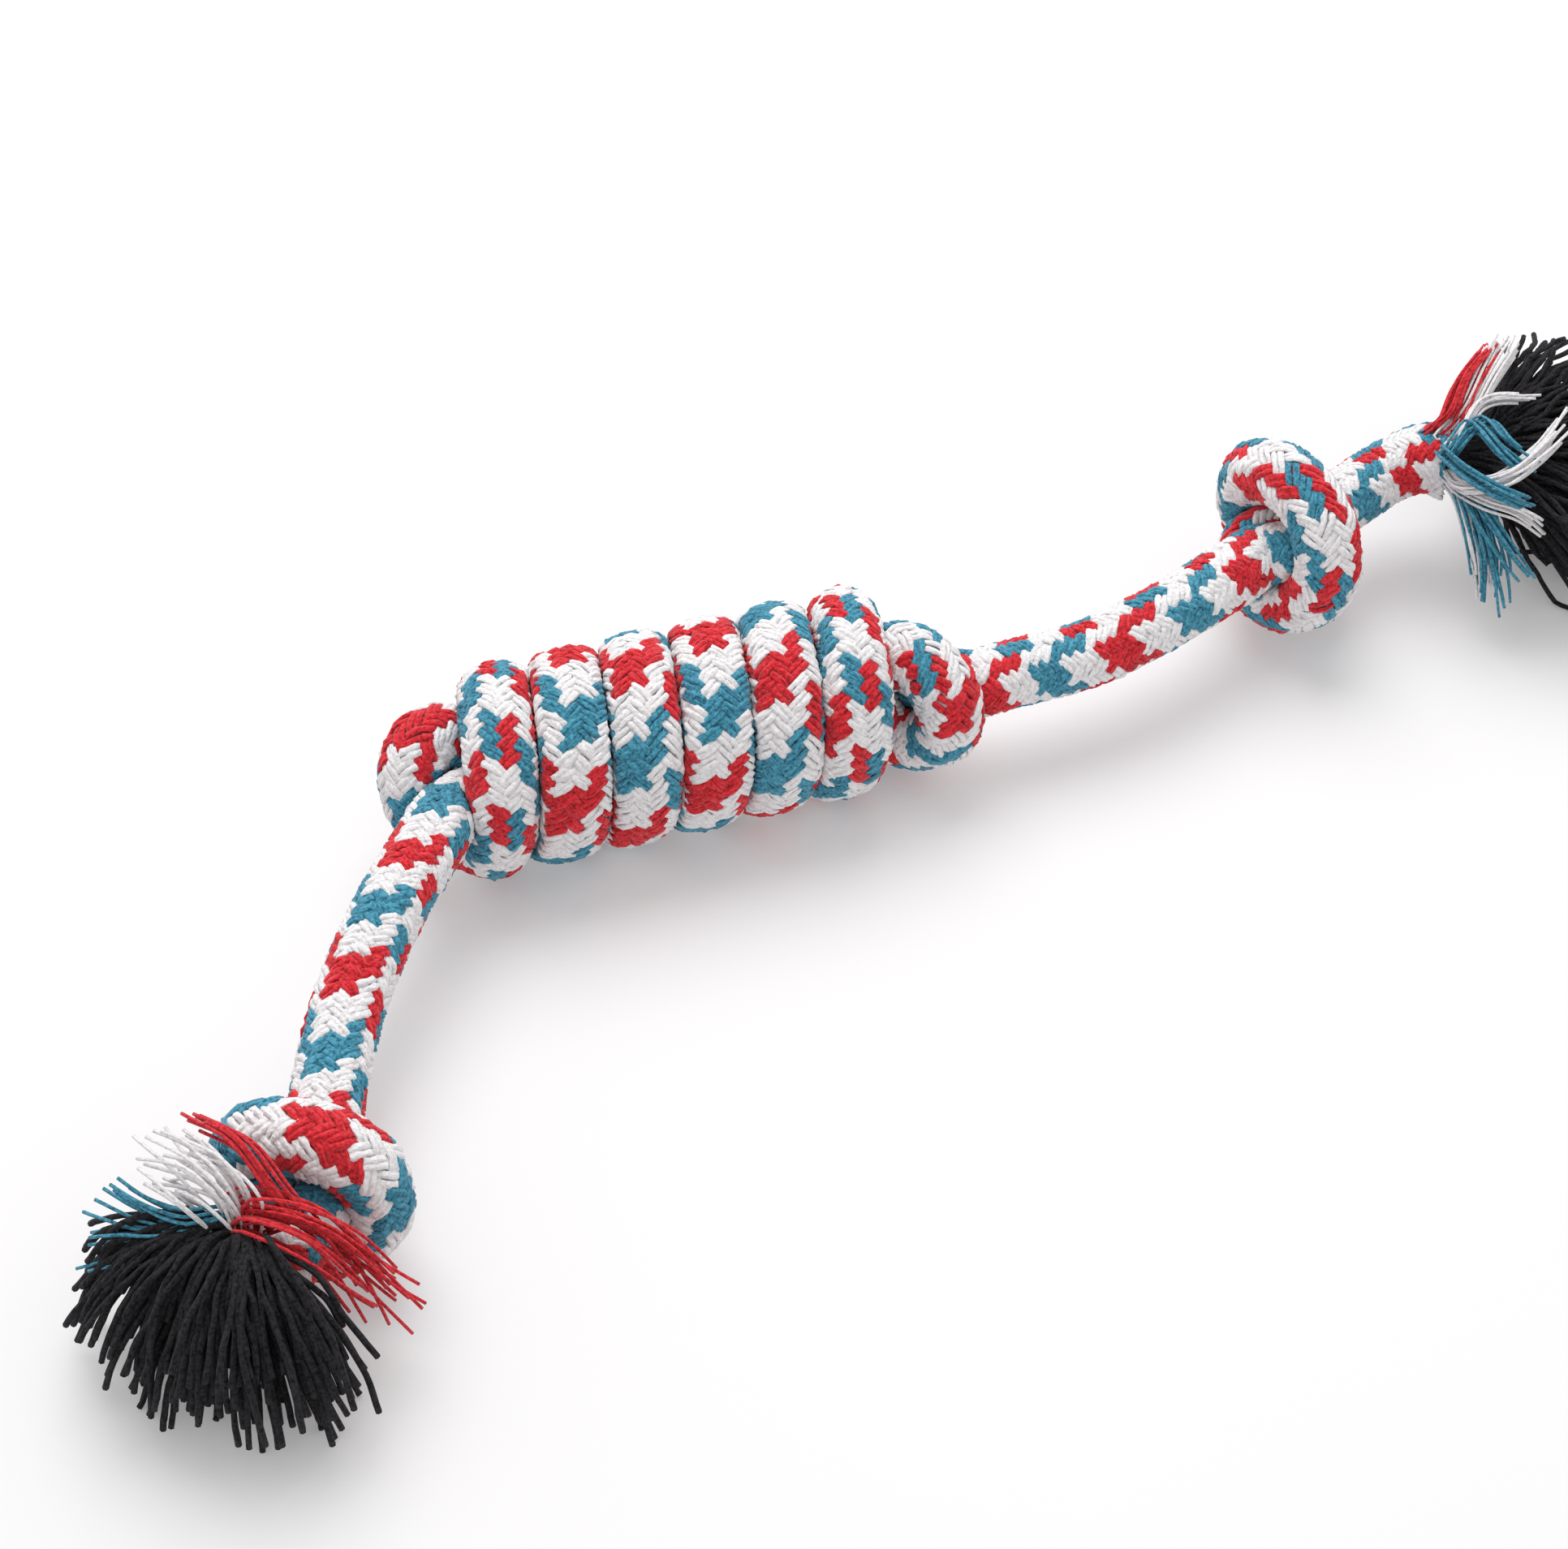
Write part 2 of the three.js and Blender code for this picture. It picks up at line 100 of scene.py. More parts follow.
# An overhand knot: how far its mouths are from its middle as a share of the pitch, and how its wrap
# leaves the rope's passage, in shares of the pitch along it, shares of the wrap's radius and degrees
MOUTH_SHARE = 0.22
BIGHT_SHARES = (
    (0.50, 0.40, 28), (0.60, 0.56, 75), (0.50, 0.76, 120), (0.32, 0.92, 175), (0.13, 0.99, 225),
)
BIGHT_DEGREES = 270

# How finely the route is drawn
CURVE_POINTS = 16
BEND_POINTS = 8
CURVE_STEPS = 24

# The rope's section: two places are separate passes from this many diameters along it, the inside of
# a bend is squeezed to this much of the bend's radius, and what touches keeps a small gap
PASS_SHARE = 1.2
SQUEEZE_SHARE = 0.8
PASS_GAP = 0.00015
FLOOR_GAP = 0.0002
SECTION_DIRECTIONS = 36
LEAST_COSINE = 1e-6

# Rope that its neighbours press in the turns: its free radius, how flat it is on the outside, how
# near the turns' radius it lies, and how fast the flatness comes in from the barrel's ends
PRESSED_RADIUS = 0.58 * ROPE
PRESSED_OUTSIDE = 0.52 * ROPE
FLATNESS = 6
TURN_TOLERANCE = 0.1 * ROPE
PRESSED_ONSET = 4

# How much wider the rope gets where it frays, and along what length
FLARE = 0.22
FLARE_LENGTH = 0.9 * ROPE

# The braid: carriers in each direction with two yarns each, and the colours round the rope. Each
# carrier goes over two others and under two.
CARRIERS = 12
YARNS_PER_CARRIER = 2
CARRIER_COLOURS = ("red",) * 3 + ("white",) * 3 + ("blue",) * 3 + ("white",) * 3
CROSSINGS_PER_WAVE = 4
STITCH_SQUARENESS = 1.5
BRAID_STEP = 0.045 * ROPE
YARN_HALF_WIDTH = 0.056 * ROPE
YARN_HALF_THICKNESS = 0.032 * ROPE
YARN_SIDES = 5

# How unevenly the braid's yarns lie, across and in depth, along what length, how rough they are, and
# where the random numbers start
SEED = 7
YARN_WANDER = 0.012 * ROPE
DEPTH_WANDER = 0.005 * ROPE
WANDER_STEP = 0.25 * ROPE
YARN_ROUGHNESS = 0.008 * ROPE

# The core inside the braid
CORE_SIDES = 12
CORE_DEPTH = 0.14 * ROPE
LEAST_CORE = 0.1 * ROPE

# How the braid runs: a length along the rope in its diameters, the half leads gone by then, and the
# degrees from the side that is carried along the rope to the line where its red and blue alternate
BRAID_STATIONS = (
    (0, -11, 274), (1.09, -10, 274), (5.42, -6, 177), (10.68, -1, 223), (12.03, 0, 220),
    (12.97, 1, 215), (13.85, 2, 220), (14.89, 3, 223), (22.71, 11, 320), (23.49, 12, 405),
    (24.2, 12.75, 485), (31.51, 20, 432), (35.46, 24.5, 380), (41.09, 30, 400), (41.97, 31, 433),
    (47.75, 37, 331), (48.8, 38, 345), (53.59, 44, 284), (54.47, 45, 313), (59.99, 51, 211),
    (61.03, 52, 223), (67.07, 58.5, 110), (72.02, 64, 36), (72.96, 65, 30), (74.05, 66, 24),
    (75.3, 67, 26), (76.29, 68, 6), (81.55, 73, -45), (82.9, 74, -45), (88.53, 79, 9),
    (89.2, 79.7, 9),
)

# The black yarns of the core at the tassels: how wide their roots spread, how steeply they may rise,
# how much they vary in length and in thickness from root to tip, and how they stray
BLACK_YARNS = 300
BLACK_YARN_RADIUS = 0.0005
BLACK_STEPS = 26
ROOT_SPREAD = 0.34 * ROPE
ROOT_SCATTER = 0.0004
HIGHEST_SPLAY = 0.3
BLACK_LENGTH_SHARES = (0.62, 1.04)
BLACK_THICKNESS_SHARES = (0.85, 1.1)
STRAY = 0.095
STRAY_KEPT = 0.8

# The sheath's yarns at the tassels, in tufts that start on the rope's rim
TUFT_YARN_RADIUS = 0.0003
TUFT_STEPS = 20
TUFT_CURVE_STEPS = 12
RIM_SHARE = 0.44
SHORTEST_TUFT_SHARE = 0.78
WIDEST_OFFSET = 1.6
SPREAD_POWER = 1.5
TUFT_CURL = 0.35

# All the tassels' yarns: their sides, and a direction that none of them runs along
TASSEL_YARN_SIDES = 6
YARN_UP = np.array([0.13, 0.21, 0.97])

# Cotton yarn: streaks along it and fuzz over it, in noise per metre, their shares in its tone and
# relief, the plies that wind round it, and how far its streaks are shifted from the last yarn's
FIBRE_SCALE = (500, 9, 1)
FIBRE_DETAIL = 4.0
FUZZ_SCALE = 1700.0
FUZZ_DETAIL = 2.0
FUZZ_TONE_SHARE = 0.6
TONE_STOPS = (0.33, 0.6)
PLIES = 2
PLY_RELIEF = 0.15
FUZZ_RELIEF = 1.5
RELIEF_STRENGTH = 0.7
RELIEF_DEPTH = 0.0003
SHEEN_ROUGHNESS = 0.55
TUBE_STAGGER = 0.37

# The camera
TURN_DEGREES = 16.7
ELEVATION_DEGREES = 48.5
FOCAL_PIXELS = 3700
PICTURE_WIDTH = 1932
PICTURE_HEIGHT = 1909
SENSOR_MILLIMETRES = 36
CAMERA_DISTANCE = 42 * ROPE
TARGET = (0.13 * ROPE, 0, 1.42 * ROPE)
TARGET_PIXEL = (845, 895)

# The floor, its tones and its glow (painted light that lightens the shadows on it), and the light:
# all round, and a soft one from above
FLOOR_HALF = 4.0
FLOOR_TONES = ((0.3, (0.665, 0.655, 0.66)), (0.7, (0.685, 0.675, 0.678)))
FLOOR_TONE_SCALE = 3.0
FLOOR_TONE_DETAIL = 3.0
FLOOR_ROUGHNESS = 0.7
FLOOR_PAINTED_GLOW = 0.17
WHITE = (1, 1, 1, 1)
WORLD_STRENGTH = 0.74
KEY_PLACE = (0.08, 0.62, 1.08)
KEY_SIZE = 1.1
KEY_POWER = 11.5

BARREL_HEIGHT = BARREL_RADIUS + RADIUS - FLAT_DEPTH
BARREL_HALF = BARREL_TURNS * BARREL_PITCH / 2
TURNS_TO_RIGHT_END = TURNS_RIGHT_OF_MIDDLE + (360 + 180 - BARREL_END_DEGREES) / 360
BARREL_PLACE = np.array([TURNS_TO_RIGHT_END * BARREL_PITCH - BARREL_HALF, 0, BARREL_HEIGHT])


# Camera

def place_camera():
    turn = math.radians(TURN_DEGREES)
    elevation = math.radians(ELEVATION_DEGREES)
    right = Vector((math.cos(turn), -math.sin(turn), 0))
    ahead = Vector((math.sin(turn), math.cos(turn), 0))
    up = ahead * math.sin(elevation) + Vector((0, 0, math.cos(elevation)))
    forward = ahead * math.cos(elevation) - Vector((0, 0, math.sin(elevation)))
    across = (TARGET_PIXEL[0] - PICTURE_WIDTH / 2) / FOCAL_PIXELS * CAMERA_DISTANCE
    above = (PICTURE_HEIGHT / 2 - TARGET_PIXEL[1]) / FOCAL_PIXELS * CAMERA_DISTANCE
    data = bpy.data.cameras.new("camera")
    data.sensor_width = SENSOR_MILLIMETRES
    data.lens = FOCAL_PIXELS / PICTURE_WIDTH * SENSOR_MILLIMETRES
    camera = bpy.data.objects.new("camera", data)
    bpy.context.scene.collection.objects.link(camera)
    rotation = Matrix((right, up, -forward)).transposed().to_4x4()
    place = Vector(TARGET) - forward * CAMERA_DISTANCE - right * across - up * above
    camera.matrix_world = Matrix.Translation(place) @ rotation
    bpy.context.scene.camera = camera


place_camera()

RNG = np.random.default_rng(SEED)


# Route

def heading(degrees):
    return np.array([math.cos(math.radians(degrees)), math.sin(math.radians(degrees)), 0.0])


def around(along, out, degrees):
    """A place round the X axis, with the angle counted from the top towards the front."""
    angle = math.radians(degrees)
    return np.array([along, -out * math.sin(angle), out * math.cos(angle)])


def smooth(points, per=CURVE_STEPS):
    """A dense centripetal Catmull-Rom curve through points."""
    points = np.asarray(points, float)
    points = np.vstack([2 * points[0] - points[1], points, 2 * points[-1] - points[-2]])
    places = []
    for i in range(1, len(points) - 2):
        p0, p1, p2, p3 = points[i - 1:i + 3]
        t = np.concatenate([[0], np.cumsum([math.sqrt(np.linalg.norm(b - a))
                                            for a, b in ((p0, p1), (p1, p2), (p2, p3))])])
        s = np.linspace(t[1], t[2], per, endpoint=False)[:, None]
        a1 = ((t[1] - s) * p0 + (s - t[0]) * p1) / (t[1] - t[0])
        a2 = ((t[2] - s) * p1 + (s - t[1]) * p2) / (t[2] - t[1])
        a3 = ((t[3] - s) * p2 + (s - t[2]) * p3) / (t[3] - t[2])
        b1 = ((t[2] - s) * a1 + (s - t[0]) * a2) / (t[2] - t[0])
        b2 = ((t[3] - s) * a2 + (s - t[1]) * a3) / (t[3] - t[1])
        places.append(((t[2] - s) * b1 + (s - t[1]) * b2) / (t[2] - t[1]))
    return np.vstack([*places, points[-2:-1]])


def lengths_along(places):
    return np.concatenate([[0], np.cumsum(np.linalg.norm(np.diff(places, axis=0), axis=1))])


def length_of(route):
    return lengths_along(route)[-1]


def on_route(route, share):
    along = lengths_along(route)
    return np.array([np.interp(share * along[-1], along, route[:, k]) for k in range(3)])


def straight_lead(start, direction):
    return [start + direction * LEAD * share for share in (0, 0.5, 1)]


def at_barrel_end(side, shares):
    out, away, above = shares
    return np.array([side * (BARREL_HALF + out * ROPE), away * ROPE, above * ROPE])


def across_barrel(steps, out, from_degrees, to_degrees):
    """Places spread evenly from one end of the barrel's turns to the other, round its axis."""
    places = []
    for i in range(steps + 1):
        degrees = from_degrees + (to_degrees - from_degrees) * i / steps
        places.append(around(BARREL_HALF * (2 * i / steps - 1), out, degrees))
    return places


def barrel_points(left_lead, right_lead):
    """In through the passage, round the small loop, back, round the left bight, over both passes in
    turns to the right, and out through the loop."""
    passes = math.ceil(BARREL_TURNS) + 1
    winding = round(BARREL_TURNS * CURVE_POINTS)
    left, right = PASSAGE_DEGREES
    start = BARREL_END_DEGREES + 360 * BARREL_TURNS
    return [*left_lead[::-1],
            *[at_barrel_end(-1, shares) for shares in LEFT_ENTRY_SHARES],
            *across_barrel(passes, INNER_OFFSET, left, right),
            *[at_barrel_end(1, shares) for shares in RIGHT_LOOP_SHARES],
            *across_barrel(passes, INNER_OFFSET, left + 180, right + 180)[::-1],
            *[at_barrel_end(-1, shares) for shares in LEFT_BIGHT_SHARES],
            *across_barrel(winding, BARREL_RADIUS, start, BARREL_END_DEGREES),
            *[at_barrel_end(1, shares) for shares in RIGHT_DIVE_SHARES],
            *right_lead]


def overhand_points(pitch, radius, entering, leaving):
    """In through the passage, back over it in a wrap, and out through the passage again."""
    mouth = MOUTH_SHARE * pitch
    leaves = END_KNOT_START - BIGHT_DEGREES
    enters = END_KNOT_START + BIGHT_DEGREES
    wrap_starts = [around(along * pitch, out * radius, leaves + on)
                   for along, out, on in BIGHT_SHARES]
    wrap_ends = [around(-along * pitch, out * radius, enters - on)
                 for along, out, on in BIGHT_SHARES[::-1]]
    return [*entering[::-1],
            *[around(along, INNER_OFFSET, leaves) for along in (-mouth, -mouth / 2, 0)],
            *wrap_starts,
            around(0, radius, END_KNOT_START),
            *wrap_ends,
            *[around(along, INNER_OFFSET, enters) for along in (0, mouth / 2, mouth)],
            *leaving]


def even_bend(start, headings, length, end_height):
    """A curve whose heading turns evenly, and whose height goes smoothly to the end's."""
    points = [start]
    for i in range(BEND_POINTS):
        at = i / (BEND_POINTS - 1) * (len(headings) - 1)
        direction = heading(np.interp(at, range(len(headings)), headings))
        after = points[-1] + direction * length / BEND_POINTS
        t = (i + 1) / BEND_POINTS
        after[2] = start[2] + (end_height - start[2]) * t ** 3 * (6 * t * t - 15 * t + 10)
        points.append(after)
    return smooth(points)


def rest_height(radius):
    return radius + RADIUS - FLAT_DEPTH


def end_knot(entry, axis_heading, knot):
    """The dense route of an overhand knot, from where the rope enters it to where it has left."""
    reach = np.array([KNOT_REACH, 0, 0])
    entering = straight_lead(-reach, heading(180))
    leaving = straight_lead(reach, heading(knot["leaves"] - axis_heading))
    route = smooth(overhand_points(knot["pitch"], knot["radius"], entering, leaving))
    axis = heading(axis_heading)
    centre = entry + axis * (KNOT_REACH + LEAD)
    centre[2] = rest_height(knot["radius"])
    side = np.cross([0, 0, 1], axis)
    return centre + route @ np.array([axis, side, [0, 0, 1]])


def knotted_end(lead_end, run, knot):
    """A free stretch out from the barrel, and the knot behind it."""
    start = lead_end + BARREL_PLACE
    stretch = even_bend(start, run["headings"], run["length"], rest_height(knot["radius"]))
    return stretch, end_knot(stretch[-1], run["headings"][-1], knot)


left_lead = straight_lead(at_barrel_end(-1, LEFT_LEAD_SHARES), heading(LEFT_RUN["headings"][0]))
right_lead = straight_lead(at_barrel_end(1, RIGHT_LEAD_SHARES), heading(RIGHT_RUN["headings"][0]))
barrel_route = BARREL_PLACE + smooth(barrel_points(left_lead, right_lead))
left_stretch, left_knot_route = knotted_end(left_lead[-1], LEFT_RUN, LEFT_KNOT)
right_stretch, right_knot_route = knotted_end(right_lead[-1], RIGHT_RUN, RIGHT_KNOT)
stub_start = right_knot_route[-1]
stub_route = even_bend(stub_start, RIGHT_STUB["headings"], RIGHT_STUB["length"],
                       stub_start[2] + RIGHT_STUB["rise"])

whole_route = np.vstack([left_knot_route[:0:-1], left_stretch[:0:-1], barrel_route,
                         right_stretch[1:], right_knot_route[1:], stub_route[1:]])


# The rope's line and its section

class Line:
    """A route in even steps, with two directions across it that are carried along."""

    def __init__(self, places, step):
        along = lengths_along(places)
        self.count = round(along[-1] / step) + 1
        self.step = along[-1] / (self.count - 1)
        self.length = along[-1]
        self.along = np.linspace(0, along[-1], self.count)
        self.places = np.stack([np.interp(self.along, along, places[:, k]) for k in range(3)], 1)
        towards = np.gradient(self.places, axis=0)
        self.directions = towards / np.linalg.norm(towards, axis=1)[:, None]
        self.across = self.carried_across()
        self.other = np.cross(self.directions, self.across)

    def carried_across(self):
        across = [np.cross([0, 0, 1], self.directions[0])]
        for direction in self.directions:
            carried = across[-1] - direction * (across[-1] @ direction)
            across.append(carried / np.linalg.norm(carried))
        return np.array(across[1:])

    def nearest(self, place):
        return int(np.linalg.norm(self.places - place, axis=1).argmin())


def free_sizes(line, outward):
    """The rope's reach where nothing is near: round, or squarer in the middle turns of the barrel,
    and wider where it frays."""
    from_axis = line.places - BARREL_PLACE
    from_axis[:, 0] = 0
    out = np.linalg.norm(from_axis, axis=1)
    along = (line.places[:, 0] - BARREL_PLACE[0]) / BARREL_HALF
    in_turns = (np.abs(out - BARREL_RADIUS) < TURN_TOLERANCE) & (np.abs(along) < 1)
    share = np.where(in_turns, np.clip(PRESSED_ONSET * (1 - np.abs(along)), 0, 1), 0)
    facing = np.einsum("sdk,sk->sd", outward, from_axis / out[:, None])
    squarer = (PRESSED_RADIUS ** -FLATNESS
               + (np.maximum(facing, 0) / PRESSED_OUTSIDE) ** FLATNESS) ** (-1 / FLATNESS)
    to_end = np.minimum(line.along, line.length - line.along)
    flare = 1 + FLARE * np.clip(1 - to_end / FLARE_LENGTH, 0, 1) ** 2
    return (RADIUS + (squarer - RADIUS) * share[:, None]) * flare[:, None]


def pressed_sizes(line):
    """How far the rope reaches from its line, at each step in each direction round it: where two
    passes press on each other both stop at the plane midway between them, the inside of a bend is
    squeezed, and nothing reaches under the floor."""
    angles = 2 * np.pi * np.arange(SECTION_DIRECTIONS) / SECTION_DIRECTIONS
    outward = (np.cos(angles)[None, :, None] * line.across[:, None]
               + np.sin(angles)[None, :, None] * line.other[:, None])
    bend = np.gradient(line.directions, line.step, axis=0)
    apart = math.ceil(PASS_SHARE * ROPE / line.step)
    sizes = free_sizes(line, outward)
    index = np.arange(line.count)
    for i in range(line.count):
        away = line.places - line.places[i]
        distance = np.linalg.norm(away, axis=1)
        near = (distance < 2 * PRESSED_RADIUS + PASS_GAP) & (np.abs(index - i) >= apart)
        if near.any():
            facing = (away[near] / distance[near, None]) @ outward[i].T
            limit = (distance[near, None] - PASS_GAP) / 2 / np.maximum(facing, LEAST_COSINE)
            sizes[i] = np.minimum(sizes[i], limit.min(0))
        inward = outward[i] @ bend[i]
        sizes[i] = np.minimum(sizes[i], SQUEEZE_SHARE / np.maximum(inward, LEAST_COSINE))
        downward = np.maximum(-outward[i, :, 2], LEAST_COSINE)
        sizes[i] = np.minimum(sizes[i], (line.places[i, 2] - FLOOR_GAP) / downward)
    return sizes


line = Line(whole_route, BRAID_STEP)
section_sizes = pressed_sizes(line)


def size_at(angles):
    """The section's size at each step of the line, at an angle for each."""
    at = (angles / (2 * np.pi) * SECTION_DIRECTIONS) % SECTION_DIRECTIONS
    low = np.floor(at).astype(int) % SECTION_DIRECTIONS
    share = at - np.floor(at)
    steps = np.arange(line.count)
    return (section_sizes[steps, low] * (1 - share)
            + section_sizes[steps, (low + 1) % SECTION_DIRECTIONS] * share)


# Meshes of tubes

def tube_uv(tubes, steps, sides, lengths):
    """Metres along each tube and turns round it, at the corners of its quads and of its ends."""
    along = np.broadcast_to(lengths, (tubes, steps)) + TUBE_STAGGER * np.arange(tubes)[:, None]
    u = np.stack([along[:, :-1], along[:, :-1], along[:, 1:], along[:, 1:]], -1)
    u = np.broadcast_to(u[:, :, None], (tubes, steps - 1, sides, 4))
    k = np.arange(sides)
    v = np.broadcast_to(np.stack([k, k + 1, k + 1, k], -1) / sides, u.shape)
    ends = np.concatenate([np.repeat(along[:, 0], sides), np.repeat(along[:, -1], sides)])
    uv = np.zeros((u.size + len(ends), 2), np.float32)
    uv[:u.size, 0] = u.reshape(-1)
    uv[:u.size, 1] = v.reshape(-1)
    uv[u.size:, 0] = ends
    return uv


def tube_object(name, rings, material, lengths):
    """One mesh of closed tubes. rings is places by tube, by step, by side."""
    tubes, steps, sides = rings.shape[:3]
    base = (np.arange(tubes) * steps * sides)[:, None, None]
    at = base + (np.arange(steps - 1) * sides)[None, :, None]
    k = np.arange(sides)
    after = (k + 1) % sides
    quads = np.stack([at + k, at + after, at + sides + after, at + sides + k], -1)
    first = base[:, 0] + k[::-1]
    last = base[:, 0] + (steps - 1) * sides + k
    loops = np.concatenate([quads.reshape(-1), first.reshape(-1), last.reshape(-1)])
    totals = np.concatenate([np.full(tubes * (steps - 1) * sides, 4), np.full(2 * tubes, sides)])
    starts = np.concatenate([[0], np.cumsum(totals)[:-1]])
    mesh = bpy.data.meshes.new(name)
    mesh.vertices.add(tubes * steps * sides)
    mesh.vertices.foreach_set("co", rings.reshape(-1).astype(np.float32))
    mesh.loops.add(len(loops))
    mesh.loops.foreach_set("vertex_index", loops.astype(np.int32))
    mesh.polygons.add(len(totals))
    mesh.polygons.foreach_set("loop_start", starts.astype(np.int32))
    mesh.polygons.foreach_set("use_smooth", np.ones(len(totals), bool))
    uv = tube_uv(tubes, steps, sides, lengths)
    mesh.uv_layers.new(name="UVMap").data.foreach_set("uv", uv.reshape(-1))
    mesh.update(calc_edges=True)
    mesh.validate()
    mesh.materials.append(material)
    piece = bpy.data.objects.new(name, mesh)
    bpy.context.scene.collection.objects.link(piece)
    return piece


def rings_round(paths, outward, half_width, half_thickness, sides):
    """Rings of sides points round each path, wide across outward and thick along it."""
    towards = np.gradient(paths, axis=1)
    towards /= np.linalg.norm(towards, axis=2)[..., None]
    normal = outward - towards * (outward * towards).sum(2)[..., None]
    normal /= np.linalg.norm(normal, axis=2)[..., None]
    side = np.cross(towards, normal)
    angles = 2 * np.pi * (np.arange(sides) + 0.5) / sides
    width = np.broadcast_to(half_width, paths.shape[:2])[..., None, None]
    thickness = np.broadcast_to(half_thickness, paths.shape[:2])[..., None, None]
    return (paths[:, :, None] - np.cos(angles)[None, None, :, None] * width * side[:, :, None]
            + np.sin(angles)[None, None, :, None] * thickness * normal[:, :, None])


# Materials

def node_material(name):
    material = bpy.data.materials.new(name)
    material.use_nodes = True
    nodes = material.node_tree.nodes
    return material, nodes, material.node_tree.links, nodes["Principled BSDF"]


def noise(nodes, links, vector, scale, detail):
    node = nodes.new("ShaderNodeTexNoise")
    node.inputs["Scale"].default_value = scale
    node.inputs["Detail"].default_value = detail
    links.new(vector, node.inputs["Vector"])
    return node.outputs["Fac"]


def ramp(nodes, links, factor, stops):
    node = nodes.new("ShaderNodeValToRGB")
    for element, (position, colour) in zip(node.color_ramp.elements, stops):
        element.position = position
        element.color = (*colour, 1)
    links.new(factor, node.inputs["Fac"])
    return node.outputs["Color"]


def maths(nodes, links, operation, a, b):
    node = nodes.new("ShaderNodeMath")
    node.operation = operation
    for socket, value in zip(node.inputs, (a, b)):
        if isinstance(value, (int, float)):
            socket.default_value = value
        else:
            links.new(value, socket)
    return node.outputs["Value"]


def cotton(name, dark, light, ply_length, sheen=0.16, specular=0.12, roughness=0.92):
    """Plied cotton yarn: fibres streaked along it, plies that wind round it, and uneven dye."""
    material, nodes, links, shader = node_material(name)

    def times(a, b):
        return maths(nodes, links, "MULTIPLY", a, b)

    def plus(a, b):
        return maths(nodes, links, "ADD", a, b)

    uv = nodes.new("ShaderNodeUVMap").outputs["UV"]
    place = nodes.new("ShaderNodeTexCoord").outputs["Object"]
    split = nodes.new("ShaderNodeSeparateXYZ")
    links.new(uv, split.inputs["Vector"])
    turn = plus(times(split.outputs["X"], 1 / ply_length), split.outputs["Y"])
    plies = maths(nodes, links, "SINE", times(turn, 2 * math.pi * PLIES), 0)
    stretch = nodes.new("ShaderNodeMapping")
    stretch.inputs["Scale"].default_value = FIBRE_SCALE
    links.new(uv, stretch.inputs["Vector"])
    fibres = noise(nodes, links, stretch.outputs["Vector"], 1.0, FIBRE_DETAIL)
    fuzz = noise(nodes, links, place, FUZZ_SCALE, FUZZ_DETAIL)
    tone = plus(times(fuzz, FUZZ_TONE_SHARE), times(fibres, 1 - FUZZ_TONE_SHARE))
    stops = tuple(zip(TONE_STOPS, (dark, light)))
    links.new(ramp(nodes, links, tone, stops), shader.inputs["Base Color"])
    bump = nodes.new("ShaderNodeBump")
    bump.inputs["Strength"].default_value = RELIEF_STRENGTH
    bump.inputs["Distance"].default_value = RELIEF_DEPTH
    height = plus(times(plies, PLY_RELIEF), plus(fibres, times(fuzz, FUZZ_RELIEF)))
    links.new(height, bump.inputs["Height"])
    links.new(bump.outputs["Normal"], shader.inputs["Normal"])
    shader.inputs["Roughness"].default_value = roughness
    shader.inputs["Specular IOR Level"].default_value = specular
    shader.inputs["Sheen Weight"].default_value = sheen
    shader.inputs["Sheen Roughness"].default_value = SHEEN_ROUGHNESS
    return material


YARN_MATERIALS = {
    "white": cotton("white_yarn", (0.69, 0.66, 0.675), (0.91, 0.895, 0.90), 0.004),
    "red": cotton("red_yarn", (0.29, 0.002, 0.005), (0.84, 0.036, 0.052), 0.004),
    "blue": cotton("blue_yarn", (0.006, 0.080, 0.145), (0.085, 0.37, 0.51), 0.004),
    "black": cotton("black_yarn", (0.0008, 0.0007, 0.001), (0.030, 0.028, 0.032), 0.006,
                    sheen=0.03, specular=0.14, roughness=0.85),
}


# The braid and the core

def braid_paths():
    """The middle line of every yarn, the directions out of the rope there, and each one's colour."""
    paths, outs, colours = [], [], []
    at, half_leads, degrees = np.array(BRAID_STATIONS).T
    gone = np.interp(line.along / ROPE, at, half_leads)
    turn = np.pi * gone
    drift = np.radians(np.interp(line.along / ROPE, at, degrees)) - 2 * np.pi / CARRIERS
    crossing = CARRIERS * gone
    stops = np.arange(0, line.length + WANDER_STEP, WANDER_STEP)
    for sign in (1, -1):
        for carrier in range(CARRIERS):
            for k in range(YARNS_PER_CARRIER):
                offset = (k - (YARNS_PER_CARRIER - 1) / 2) / YARNS_PER_CARRIER
                wander, deeper = (np.interp(line.along, stops, RNG.normal(0, size, len(stops)))
                                  for size in (YARN_WANDER, DEPTH_WANDER))
                place = 2 * np.pi * (carrier + offset) / CARRIERS
                angle = sign * turn + place + drift + wander / RADIUS
                count = 2 * carrier + offset + sign * crossing
                wave = sign * np.cos(2 * np.pi * (count - 0.5) / CROSSINGS_PER_WAVE)
                over = np.tanh(STITCH_SQUARENESS * wave) / math.tanh(STITCH_SQUARENESS)
                out = np.cos(angle)[:, None] * line.across + np.sin(angle)[:, None] * line.other
                depth = YARN_HALF_THICKNESS * (2 - over) + deeper
                paths.append(line.places + out * (size_at(angle) - depth)[:, None])
                outs.append(out)
                colours.append(CARRIER_COLOURS[carrier])
    return np.array(paths), np.array(outs), np.array(colours)


def core_rings():
    rings = []
    for angle in 2 * np.pi * np.arange(CORE_SIDES) / CORE_SIDES:
        out = math.cos(angle) * line.across + math.sin(angle) * line.other
        reach = np.maximum(size_at(np.full(line.count, angle)) - CORE_DEPTH, LEAST_CORE)
        rings.append(line.places + out * reach[:, None])
    return np.stack(rings, 1)


